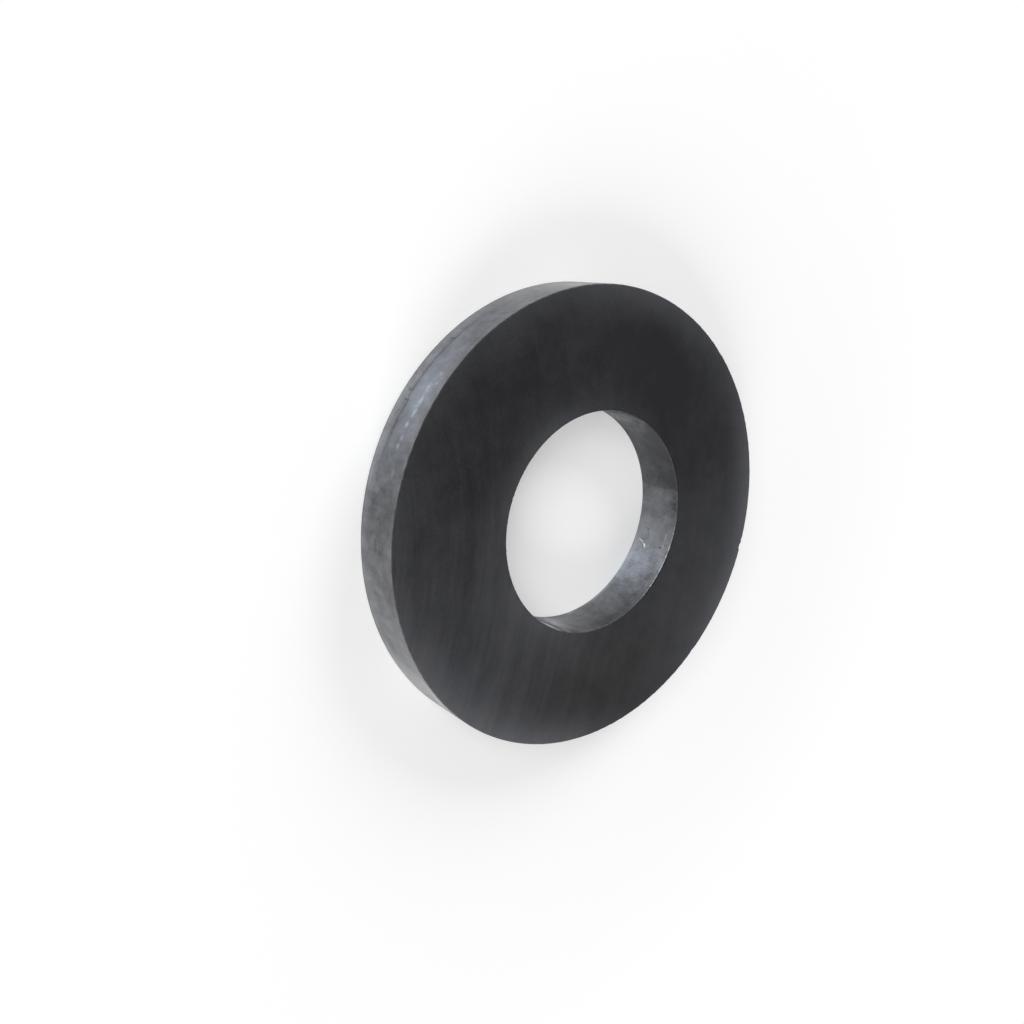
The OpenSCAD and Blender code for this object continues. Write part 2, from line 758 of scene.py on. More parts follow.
@dataclass(frozen=True)
class FiredFerrite(Ferrite):
    """Fired ferrite as it leaves the die: a satin grey wall, clouded, rubbed and marked along the press,
    with painted sheen and highlights.

    Attributes:
        spots: Soft patches, placed by height.
        bands: Stretches of wall with their own tone.
        band_bend: How far the blotches bend the bands' ends aside, in degrees.
        bloom: Where the bluish cast lies, which is a painted bluish-white sheen where it is strongest.
        bloom_tint: Tint of the bluish cast and painted sheen.
        dust: Where the pale dust lies, and the warm tint of the painted highlights at the wall's ends.
        dust_tint: Tint of the pale dust and of those painted highlights.
        tint_patches: How far the blotches swing the bluish cast and sheen, and the dust and sheen.
        sheen_tints: The two faint tints between which the wall wanders.
        scratched: Where short fine scratches run along the axis.
        rubs: Rub marks, each with a painted highlight.
        glints: Painted highlights, small ones and broad ones at the ends of a wall.
        rub_gloss: How much smoother a rubbed place is.
        lean: How much tone the wall loses with each millimetre of height.
        lean_about: The height at which it has lost none, in mm.
        seed: How far beyond their own seeds the wall's noises are read.
        cloud: The broad clouds.
        blotch: The smaller blotches.
        drawn: The streaks that the press leaves along the axis.
        grain: The fine grain.
        fleck: Small dark flecks.
        scratch: The short scratches.
        sheen: How the two faint tints change places.
    """

    dark: Colour = (0.03, 0.0305, 0.033)
    pale: Colour = (0.36, 0.366, 0.388)
    broken: Colour = (0.52, 0.55, 0.62)
    deep: Colour = (0.012, 0.012, 0.013)
    base_tone: float = 0.315
    roughness: float = 0.5
    relief: float = 0.3
    relief_depth: float = 0.03
    bands: tuple[Band, ...] = ()
    band_bend: float = 10.0
    bloom: tuple[Spot, ...] = ()
    bloom_tint: Colour = (0.925, 1.01, 1.11)
    dust: tuple[Spot, ...] = ()
    dust_tint: Colour = (1.03, 1.0, 0.94)
    tint_patches: float = 0.5
    sheen_tints: tuple[Colour, Colour] = ((0.975, 1.014, 1.0), (1.01, 0.99, 1.01))
    scratched: tuple[Spot, ...] = ()
    rubs: tuple[RubMark, ...] = ()
    glints: tuple[Spot, ...] = ()
    rub_gloss: float = 0.15
    lean: float = 0.0
    lean_about: float = 3.5
    seed: float = 0.0
    cloud: Noise = Noise(4.5, seed=2.3, detail=3.0, tone=0.44)
    blotch: Noise = Noise(1.6, seed=5.9, detail=4.0, roughness=0.6, tone=0.70, relief=0.8)
    drawn: Noise = Noise(0.5, seed=11.2, stretch=(1, 1, 6), tone=0.18, relief=0.3)
    grain: Noise = Noise(0.2, seed=8.2, tone=0.24, relief=0.6)
    fleck: Noise = Noise(0.45, seed=19.7, cut=(0.58, 0.72), tone=0.07)
    scratch: Noise = Noise(0.16, seed=15.5, stretch=(1, 1, 6), cut=(0.55, 0.68), relief=0.3)
    sheen: Noise = Noise(2.2, seed=27.1, detail=1.0, cut=(0.35, 0.65))

    def layers(self, at: RingCoordinates) -> Layers:
        """Clouds the wall, and adds its bands, tints, scratches, rub marks, and painted highlights and
        sheen.

        Args:
            at: The coordinates of the points.

        Returns:
            Its layers.
        """
        mottles = (self.cloud, self.blotch, self.drawn, self.grain)
        cloud, blotch, drawn, grain = (at.noise(noise, self.seed) for noise in mottles)
        fleck, scratch, sheen = (
            at.noise(noise, self.seed) for noise in (self.fleck, self.scratch, self.sheen)
        )
        mottling = (
            cloud.swing(self.cloud.tone)
            + blotch.swing(self.blotch.tone)
            + drawn.swing(self.drawn.tone)
            + grain.swing(self.grain.tone)
        )
        band_tone, calm = at.bands(self.bands, blotch.swing(self.band_bend))
        tone = (
            mottling * (1.0 - calm)
            - fleck * self.fleck.tone
            + at.spots(at.z, self.spots)
            + band_tone
            + (at.z - self.lean_about) * -self.lean
            - scratch * at.spots(at.z, self.scratched)
            + self.base_tone
        ).clamped()
        colour = at.graph.mix(self.dark, self.pale, tone)
        colour = at.graph.multiply(colour, at.graph.mix(*self.sheen_tints, sheen))
        # The bluish cast with its painted sheen, and the dust with the warm tint of painted highlights.
        for tint, places in ((self.bloom_tint, self.bloom), (self.dust_tint, self.dust)):
            amount = (blotch.swing(self.tint_patches) + at.spots(at.z, places)).clamped()
            colour = at.graph.tinted(colour, tint, amount)
        # Breaks, and the painted highlights of worn edges, nicks, the gouge's lip, rub marks and glints.
        fresh = (at.mark(Mark.FRESH) + at.rubbed(self.rubs) + at.spots(at.z, self.glints)).clamped()
        rough = (
            self.roughness
            + cloud.swing(self.gloss_swing)
            + blotch.swing(self.gloss_swing)
            - fresh * self.rub_gloss
        ).clamped()
        relief = (
            grain * self.grain.relief
            + drawn * self.drawn.relief
            + blotch * self.blotch.relief
            - scratch * self.scratch.relief
        )
        return Layers(colour, fresh, rough, relief)


OUTER_WALL = FiredFerrite(
    name="fired_outer_wall",
    spots=(
        # Broad changes of tone.
        # Painted highlight of the sheen at this end of the wall.
        Spot(-153, 3.5, 13, 9.0, 0.48),
        # Painted bluish-white sheen on the band near -106.
        Spot(-106, 3.9, 9, 2.4, 0.33),
        Spot(-100, 3.5, 18, 9.0, 0.09),
        Spot(-100, 0.9, 30, 0.6, 0.20),
        # Painted highlight along the rear edge.
        Spot(-96, 0.35, 20, 0.3, 0.16),
        Spot(-76, 4.0, 8, 4.5, -0.13),
        Spot(-53, 3.5, 8, 9.0, 0.08),
        # Painted highlight of the sheen at this end of the wall.
        Spot(-31, 3.5, 11.5, 9.0, 0.72),
        # Painted highlight along the rear edge.
        Spot(-75, 0.45, 40, 0.25, 0.14),
        # Dark clouds.
        Spot(-127.2, 5.6, 0.6, 0.3, -0.12),
        Spot(-96.5, 3.1, 3.0, 0.8, -0.08),
        Spot(-84.3, 2.0, 1.1, 0.4, -0.09),
        Spot(-82.7, 5.6, 1.3, 0.9, -0.10),
        Spot(-81.0, 4.2, 1.6, 1.0, -0.10),
        Spot(-79.0, 2.6, 1.5, 0.9, -0.13),
        Spot(-77.4, 5.2, 1.9, 1.4, -0.10),
        Spot(-70.0, 4.6, 2.2, 0.6, -0.10),
        Spot(-70.5, 3.4, 3.0, 0.6, -0.10),
        Spot(-62.5, 5.2, 1.8, 0.7, -0.07),
        Spot(-44.0, 2.6, 1.5, 0.8, -0.07),
        Spot(-40.5, 5.4, 1.4, 1.2, -0.12),
        # Pale patches.
        Spot(-97.0, 5.5, 2.5, 0.6, 0.10),
        # Painted highlight along the rear edge, as are the ones at -50 and -40 near 0.8 mm.
        Spot(-84.8, 0.55, 1.6, 0.25, 0.16),
        Spot(-82.0, 2.3, 1.0, 0.7, 0.10),
        Spot(-80.3, 1.3, 1.8, 0.5, 0.07),
        Spot(-75.3, 0.8, 1.2, 0.3, 0.12),
        Spot(-70.0, 5.7, 1.0, 0.7, 0.08),
        Spot(-61.5, 2.7, 2.5, 1.6, 0.09),
        Spot(-65.0, 1.3, 5.0, 0.7, 0.05),
        Spot(-60.0, 1.3, 10.0, 0.9, 0.08),
        Spot(-50.0, 0.8, 9.0, 0.35, 0.09),
        Spot(-44.6, 5.4, 2.0, 0.6, 0.07),
        Spot(-40.0, 0.9, 5.0, 0.4, 0.09),
        Spot(-35.5, 5.5, 1.6, 0.9, 0.10),
        Spot(-118.0, 1.0, 12.0, 0.9, 0.06),
        # Painted highlight of the sheen near this end of the wall.
        Spot(-29.0, 5.9, 3.0, 0.8, 0.25),
    ),
    # A faint bluish cast, with a painted bluish-white sheen on the band near -107.
    bloom=(Spot(-107, 3.8, 13, 2.8, 1.0), Spot(-88, 2.8, 10, 3.0, 0.7), Spot(-123, 3.3, 8, 3.0, 0.5)),
    # Dust, and the warm tint of the painted highlights at the two ends.
    dust=(Spot(-152, 3.5, 14, 9.0, 1.0), Spot(-31, 3.5, 10, 9.0, 1.0), Spot(-108, 0.7, 18, 0.5, 0.6)),
    scratched=(Spot(-108, 0.9, 14, 0.7, 0.30),),
    # A rub mark, smoother and with a painted highlight along its dashes.
    rubs=(RubMark(-107.1, -98.9, 4.65, 4.5, width=0.31, dash=0.45, strength=0.80),),
    glints=(
        # Painted highlights: broad ones at the two ends of the wall, small ones along the rub mark.
        Spot(-151.0, 5.30, 2.6, 1.5, 0.30),
        Spot(-30.0, 6.00, 4.0, 0.5, 0.70),
        Spot(-26.8, 5.30, 1.6, 0.6, 0.70),
        Spot(-109.7, 5.10, 0.40, 0.25, 0.40),
        Spot(-107.3, 5.50, 0.40, 0.28, 0.45),
        Spot(-97.0, 4.25, 0.60, 0.30, 0.72),
        Spot(-94.0, 4.40, 0.55, 0.30, 0.34),
        Spot(-92.1, 4.20, 0.60, 0.26, 0.45),
        Spot(-86.5, 4.90, 1.20, 0.20, 0.15),
    ),
)

BORE_WALL = FiredFerrite(
    name="fired_bore_wall",
    pale=(0.55, 0.56, 0.593),
    base_tone=0.18,
    broken=(0.84, 0.87, 0.91),
    spots=(
        # Broad changes of tone.
        Spot(176, 3.5, 10, 9.0, 0.05),
        Spot(172, 2.4, 6, 2.2, 0.10),
        Spot(182, 5.6, 7, 2.0, -0.12),
        Spot(175, 7.0, 9, 1.3, -0.10),
        Spot(183.5, 4.5, 5, 4.0, -0.16),
        Spot(168, 6.0, 9, 1.6, -0.05),
        Spot(166, 1.4, 7, 1.0, 0.04),
        Spot(110, 1.3, 5, 1.2, 0.06),
        Spot(110, 6.0, 6, 1.2, -0.05),
        Spot(10, 6.0, 6, 1.2, -0.045),
        Spot(78, 6.4, 14, 1.0, 0.07),
        Spot(84, 0.55, 7, 0.4, 0.08),
        Spot(75, 6.2, 3, 0.7, 0.06),
        Spot(58, 2.5, 7, 1.2, 0.05),
        Spot(16, 5.0, 9, 1.6, -0.05),
        Spot(142, 3.0, 11, 6.0, -0.045),
        Spot(97, 3.0, 9, 5.0, 0.14),
        # These two paint the brightness of a bluish sheen on the far wall, which faces the camera.
        Spot(80, 3.2, 16, 5.5, 0.34),
        Spot(75, 2.6, 9.5, 1.9, 0.10),
        # Painted highlight along the rear edge, in these three.
        Spot(74, 0.45, 13, 0.5, 0.30),
        Spot(50, 0.30, 15, 0.2, 0.25),
        Spot(27, 0.40, 2.5, 0.3, 0.25),
        Spot(36, 3.5, 9, 9.0, -0.06),
        Spot(38, 2.2, 12, 1.6, 0.02),
        Spot(30, 6.2, 16, 1.5, -0.06),
        Spot(15, 1.6, 7, 1.2, 0.08),
        Spot(8.5, 2.8, 4.5, 2.2, 0.33),
        # Painted highlight of the sheen at this end of the wall.
        Spot(-3, 5.0, 3, 1.6, 0.45),
        Spot(2.0, 4.4, 1.1, 2.2, -0.30),
        # Dark clouds, with a pale gap between two of them.
        Spot(83, 4.3, 3.0, 0.8, -0.04),
        Spot(74.5, 2.0, 0.5, 0.6, -0.10),
        Spot(72.5, 6.05, 0.6, 0.3, -0.12),
        Spot(70, 5.4, 8.0, 0.8, -0.08),
        Spot(66.6, 1.9, 0.25, 0.9, -0.06),
        Spot(60.2, 2.6, 0.5, 1.2, -0.08),
        Spot(63.2, 2.2, 0.9, 0.7, 0.11),
        Spot(56.5, 4.8, 0.6, 0.5, -0.08),
        # Pale patches.
        Spot(94.5, 2.7, 1.8, 0.15, 0.10),
        Spot(81, 6.2, 3.5, 0.7, 0.08),
        Spot(76, 4.3, 1.5, 0.5, 0.08),
        Spot(61.6, 2.3, 0.8, 0.9, 0.07),
    ),
    bands=(
        # Painted shade over the wall from 121.5 to 167 degrees, sharp where it starts.
        Band(121.5, 167, 2.5, 24, -0.12, calm=0.72),
        # Paler low on the wall: part of the painted bluish sheen there.
        Band(64.8, 84, 1.2, 9, 0.13, calm=0.0, top=4.3),
        Band(88, 121.5, 6, 1, 0.0, calm=0.4),
        Band(50, 64.5, 4, 2, 0.0, calm=0.3),
        Band(14, 50, 8, 8, 0.0, calm=0.55),
    ),
    # A painted bluish sheen near 76, and a faint bluish cast elsewhere.
    bloom=(
        Spot(76, 2.8, 12, 4.0, 1.0),
        Spot(56, 2.8, 9, 5.0, 0.55),
        Spot(108, 2.8, 12, 5.0, 0.35),
        Spot(138, 1.5, 9, 1.6, 0.5),
    ),
    scratched=(Spot(74, 2.5, 14, 3.0, 0.32),),
    # A fine rub mark, with a painted highlight along its dashes.
    rubs=(RubMark(88.8, 96.2, 5.78, 5.72, width=0.09, dash=0.25, strength=0.52),),
    glints=(
        # Painted highlights: small pale dots by the gouge, and a broad one at the end of the wall.
        Spot(96.3, 2.10, 0.4, 0.10, 0.25),
        Spot(87.0, 3.10, 0.5, 0.12, 0.30),
        Spot(88.6, 0.95, 0.4, 0.15, 0.22),
        Spot(86.3, 4.75, 0.5, 0.15, 0.12),
        Spot(84.1, 3.35, 0.35, 0.12, 0.30),
        Spot(-3.5, 5.00, 2.0, 1.1, 0.40),
    ),
    lean=0.016,
    seed=40.0,
)


@dataclass(frozen=True)
class Backdrop:
    """A plain white floor that keeps the ring's shadow, and lights the ring as a pale one would.

    Attributes:
        name: Name of its material.
        colour: Its own colour.
        lift: How much brighter than lit the camera sees it.
        white_from: Distance from the ring's axis at which it begins to pass into pure white, in metres.
        white_at: Distance at which it is pure white, in metres.
    """

    name: str = "white_floor"
    colour: Colour = (0.8, 0.8, 0.8)
    lift: float = 0.25
    white_from: float = 42 * MM
    white_at: float = 95 * MM

    def make(self) -> bpy.types.Material:
        """Builds the material.

        Returns:
            The material.
        """
        recipe = Recipe(self.name)
        plain = recipe.node("ShaderNodeBsdfDiffuse", Color=self.colour)
        lift = recipe.node("ShaderNodeEmission", Color=WHITE, Strength=self.lift)
        lifted = recipe.node("ShaderNodeAddShader", None, plain, lift)
        white = recipe.node("ShaderNodeEmission", Color=WHITE, Strength=1.0)
        place = recipe.node("ShaderNodeTexCoord").outputs["Object"]
        reach = recipe.node("ShaderNodeVectorMath", {"operation": "LENGTH"}, place)
        far = recipe.wire(reach, "Value").smooth(self.white_from, self.white_at)
        return recipe.finish(recipe.blend(plain, recipe.blend(lifted, white, far), recipe.seen_directly()))


# ---------------------------------------------------------------------------------------------------------
# The ring's skin
# ---------------------------------------------------------------------------------------------------------


class Surface(Enum):
    """The kinds of surface on the ring, each numbered as its material on the mesh."""

    OUTER_WALL = 0
    FACE = 1
    BORE_WALL = 2


FINISHES: dict[Surface, Ferrite] = {
    Surface.OUTER_WALL: OUTER_WALL,
    Surface.FACE: GroundFerrite(),
    Surface.BORE_WALL: BORE_WALL,
}
TINY = 1e-9  # keeps a distance of 0 from being divided by
# Painted shade in cuts: how much darker they are drawn than their depth alone makes them.
PAINTED_SHADE_GAIN = 1.5  # how much darker a cut looks than its depth would make it


def hump(offset: np.ndarray, reach: "float | np.ndarray", power: int = 2) -> np.ndarray:
    """Returns 1 where offset is 0 and about a third at reach from it, with a flatter top at power 4."""
    return np.exp(-((offset / reach) ** power))


def ramp(value: np.ndarray, top: float = 1.0) -> np.ndarray:
    """Returns a straight rise from 0 where value is 0 to 1 where it is top, held between the two."""
    return np.clip(value / top, 0, 1)


def wander(along: np.ndarray, seed: int, waves: int = 7) -> np.ndarray:
    """Returns a smooth random curve.

    Args:
        along: Where it is read. Its features are about 1 wide.
        seed: Picks the curve.
        waves: How many waves it is the sum of.

    Returns:
        Its values, mostly between -1 and 1.
    """
    slowest, fastest = 1.0, 6.0
    draw = np.random.default_rng(seed)
    pitches = draw.uniform(slowest, fastest, waves)
    phases = draw.uniform(0.0, 2 * math.pi, waves)
    return sum(np.sin(along * pitch + phase) for pitch, phase in zip(pitches, phases)) / math.sqrt(waves)


@dataclass(frozen=True)
class Waver:
    """A smooth random unevenness along a line.

    Attributes:
        size: How far it swings to either side.
        pitch: How often it swings in each unit of length.
        seed: Picks the curve.
    """

    size: float
    pitch: float
    seed: int

    def at(self, along: np.ndarray) -> np.ndarray:
        """Returns how far it swings at each place along the line."""
        return self.size * wander(along * self.pitch, self.seed)


@dataclass(frozen=True)
class Crowd:
    """A place where the mesh is finer.

    Attributes:
        place: Its middle.
        reach: How far it reaches to either side.
        extra: How many more rows or segments lie there, as a multiple of the plain spacing.
    """

    place: float
    reach: float
    extra: float


def spaced(start: float, end: float, count: int, crowds: Sequence[Crowd]) -> np.ndarray:
    """Spaces values from start to end, closer together in the crowded places.

    Args:
        start: The first value.
        end: The last value, more or less than start.
        count: How many values there are, with both ends.
        crowds: The crowded places.

    Returns:
        The values in order.
    """
    fine_count = 8001
    fine = np.linspace(start, end, fine_count)
    density = np.ones_like(fine)
    for crowd in crowds:
        density += crowd.extra * hump(fine - crowd.place, crowd.reach)
    total = np.concatenate([[0.0], np.cumsum((density[1:] + density[:-1]) / 2)])
    return np.interp(np.linspace(0.0, total[-1], count), total, fine)


@dataclass
class Skin:
    """The ring's surface as a grid: segments round the axis by rows of the section.

    Attributes:
        angle: The direction of each segment in degrees, as a column.
        radius: The radius of each point, in mm.
        height: The height of each point, in mm.
        kinds: The surface that follows each row.
        marks: What damage has done at each point, from 0 to 1, for each kind of mark.
    """

    angle: np.ndarray
    radius: np.ndarray
    height: np.ndarray
    kinds: list[Surface]
    marks: dict[Mark, np.ndarray]

    @classmethod
    def swept(cls, angles: np.ndarray, section: np.ndarray, kinds: list[Surface]) -> "Skin":
        """Sweeps a section round the axis.

        Args:
            angles: The direction of each segment, in degrees.
            section: The section's points, each a radius and a height in mm.
            kinds: The surface that follows each point.

        Returns:
            The sound skin.
        """
        shape = (len(angles), len(section))
        return cls(
            angle=angles[:, None],
            radius=np.broadcast_to(section[:, 0], shape).copy(),
            height=np.broadcast_to(section[:, 1], shape).copy(),
            kinds=kinds,
            marks={mark: np.zeros(shape) for mark in Mark},
        )

    def on(self, surface: Surface) -> np.ndarray:
        """Returns 1 for the rows that start a strip of one surface, and 0 for the others."""
        return np.array([kind is surface for kind in self.kinds], dtype=float)[None, :]

    def beside(self, direction: float, wall_r: float) -> np.ndarray:
        """Returns how far round a wall of a radius each segment lies from a direction, in mm."""
        return np.radians(self.angle - direction) * wall_r

    def raise_mark(self, mark: Mark, strength: np.ndarray) -> None:
        """Marks the skin where it isn't already marked more strongly."""
        self.marks[mark] = np.maximum(self.marks[mark], np.clip(strength, 0.0, 1.0))

    def points(self) -> np.ndarray:
        """Returns the grid's points as x, y and z in mm."""
        turn = np.radians(self.angle)
        return np.stack([self.radius * np.cos(turn), self.radius * np.sin(turn), self.height], axis=-1)


@dataclass(frozen=True)
class WallLine:
    """A line drawn on a wall.

    Attributes:
        wall_r: Radius of the wall, in mm.
        path: The line's points, each a direction in degrees and a height in mm.
        pieces: How many points the line is worked out at.
    """

    wall_r: float
    path: tuple[tuple[float, float], ...]
    pieces: int = 60

    def measured(self, skin: Skin) -> tuple[np.ndarray, np.ndarray]:
        """Measures each point of the skin from the line.

        Args:
            skin: The skin.

        Returns:
            How far each point lies from the line in mm, more than 0 on the left of someone who follows it
            with directions growing to the right, and how far along the line it is, from 0 to 1.
        """
        places = np.array(self.path) * (math.radians(self.wall_r), 1.0)
        lengths = np.concatenate([[0.0], np.cumsum(np.hypot(*np.diff(places, axis=0).T))])
        steps = np.linspace(0.0, lengths[-1], self.pieces)
        line = np.stack([np.interp(steps, lengths, places[:, axis]) for axis in (0, 1)], axis=-1)
        heading = np.gradient(line, axis=0)
        heading /= np.hypot(*heading.T)[:, None]
        round_wall = np.broadcast_to(np.radians(skin.angle) * self.wall_r, skin.height.shape)
        beside, above = round_wall[..., None] - line[:, 0], skin.height[..., None] - line[:, 1]
        nearest = np.argmin(beside**2 + above**2, axis=-1)[..., None]
        beside, above = (np.take_along_axis(part, nearest, axis=-1)[..., 0] for part in (beside, above))
        nearest = nearest[..., 0]
        ahead = beside * heading[nearest, 0] + above * heading[nearest, 1]
        aside = above * heading[nearest, 0] - beside * heading[nearest, 1]
        return aside, (nearest + ahead / (steps[1] - steps[0])) / (self.pieces - 1)


# ---------------------------------------------------------------------------------------------------------
# Damage
# ---------------------------------------------------------------------------------------------------------


class Damage(ABC):
    """Something that has happened to the ring's skin."""

    @abstractmethod
    def cut(self, skin: Skin) -> None:
        """Cuts the damage into the skin and marks it.

        Args:
            skin: The skin, which is changed.
        """


@dataclass(frozen=True)
class Chip:
    """The place and the size of a chip in an edge.

    Attributes:
        direction: Its middle, in degrees round the axis from +X.
        length: Its length along the edge, in mm.
        depth: Its depth into the corner, in mm.
    """

    direction: float
    length: float
    depth: float


@dataclass(frozen=True)
class Scoop(Damage):
    """The rounded hollow of a chip, a ball cut out of the corner of an edge.

    Attributes:
        chip: The chip.
        edge_radius: Radius of the edge that it is in, in mm.
        edge_height: Height of that edge, in mm.
        outward: 1 on the outer edge, -1 on the bore's.
        freshness: How pale the break is, from 0 to 1; on the bore's nicks this is a painted highlight.
        lumps: How uneven its hollow is, as a share of its depth.
        lump_pitch: How often it is uneven in each degree round the axis and in each mm of height.
        first_seed: The seed to which ten times the direction is added, so that no two are alike.
    """

    chip: Chip
    edge_radius: float
    edge_height: float
    outward: int = 1
    freshness: float = 0.55
    lumps: float = 0.2
    lump_pitch: tuple[float, float] = (6.0, 5.0)
    first_seed: int = 2000

    def cut(self, skin: Skin) -> None:
        """Pushes the points inside a ball out to its surface, in the plane of each segment.

        Args:
            skin: The skin, which is changed.
        """
        chip = self.chip
        ball = (chip.length**2 / 4 + chip.depth**2) / (2 * chip.depth)
        step = (ball - chip.depth) / math.sqrt(2)
        centre = self.edge_radius + self.outward * step
        turned = np.radians((skin.angle - chip.direction + 180.0) % 360.0 - 180.0)
        aside = centre * np.sin(turned)
        slice_radius = np.sqrt(np.clip(ball**2 - aside**2, 0.0, None)) * (np.cos(turned) > 0)
        outward = skin.radius - centre * np.cos(turned)
        upward = skin.height - (self.edge_height + step)
        distance = np.hypot(outward, upward)
        lump_place = np.degrees(turned) * self.lump_pitch[0] + skin.height * self.lump_pitch[1]
        pattern = wander(lump_place, int(chip.direction * 10) + self.first_seed)
        reach = slice_radius * (1.0 + self.lumps * chip.depth / ball * pattern)
        inside = distance < reach
        push = np.where(inside, reach / np.maximum(distance, TINY), 1.0)
        skin.radius[...] += outward * (push - 1.0)
        skin.height[...] += upward * (push - 1.0)
        # Paints the break pale; on the bore's nicks this is a painted highlight.
        skin.raise_mark(Mark.FRESH, inside * self.freshness)


@dataclass(frozen=True)
class EdgeWear(Damage):
    """Uneven wear along a rounded edge, which eats a little into the rounding and nowhere else, with a
    painted highlight in patches.

    Attributes:
        rows: The rows of the rounding.
        outward: 1 on the outer edge, -1 on the bore's.
        pitch: Length of the unevenness, in degrees.
        seed: Picks the pattern.
        pale_at: The direction in which the edge has a painted highlight, in patches.
        pale_spread: Half the width of that part, in degrees.
        paleness: How pale it is there, from 0 to 1.
        least_pale: How pale it is where it is worn least, as a share of that.
        depth: The most that is worn off, in mm.
    """

    rows: slice
    outward: int
    pitch: float
    seed: int
    pale_at: float
    pale_spread: float
    paleness: float
    least_pale: float = 0.2
    depth: float = 0.03

    def cut(self, skin: Skin) -> None:
        """Moves the middle of the rounding inwards, and paints a highlight on it where it is worn most.

        Args:
            skin: The skin, which is changed.
        """
        worn = ramp(0.5 + 0.5 * wander(skin.angle / self.pitch, self.seed))
        count = skin.radius[:, self.rows].shape[1]
        weight = np.sin(np.linspace(0.0, math.pi, count))[None, :]
        skin.radius[:, self.rows] -= self.outward * self.depth * worn * weight
        skin.height[:, self.rows] -= self.depth * worn * weight
        pale = self.paleness * hump(skin.angle - self.pale_at, self.pale_spread, 4)
        strength = np.zeros_like(skin.radius)
        strength[:, self.rows] = pale * (self.least_pale + (1 - self.least_pale) * worn**2) * weight
        # Painted highlight along the edge.
        skin.raise_mark(Mark.FRESH, strength)


@dataclass(frozen=True)
class Spur:
    """A fine crack that runs straight down from the lamination crack.

    Attributes:
        share: Where it leaves the crack, as a share of the crack's course.
        length: Its length, in mm.
    """

    share: float
    length: float


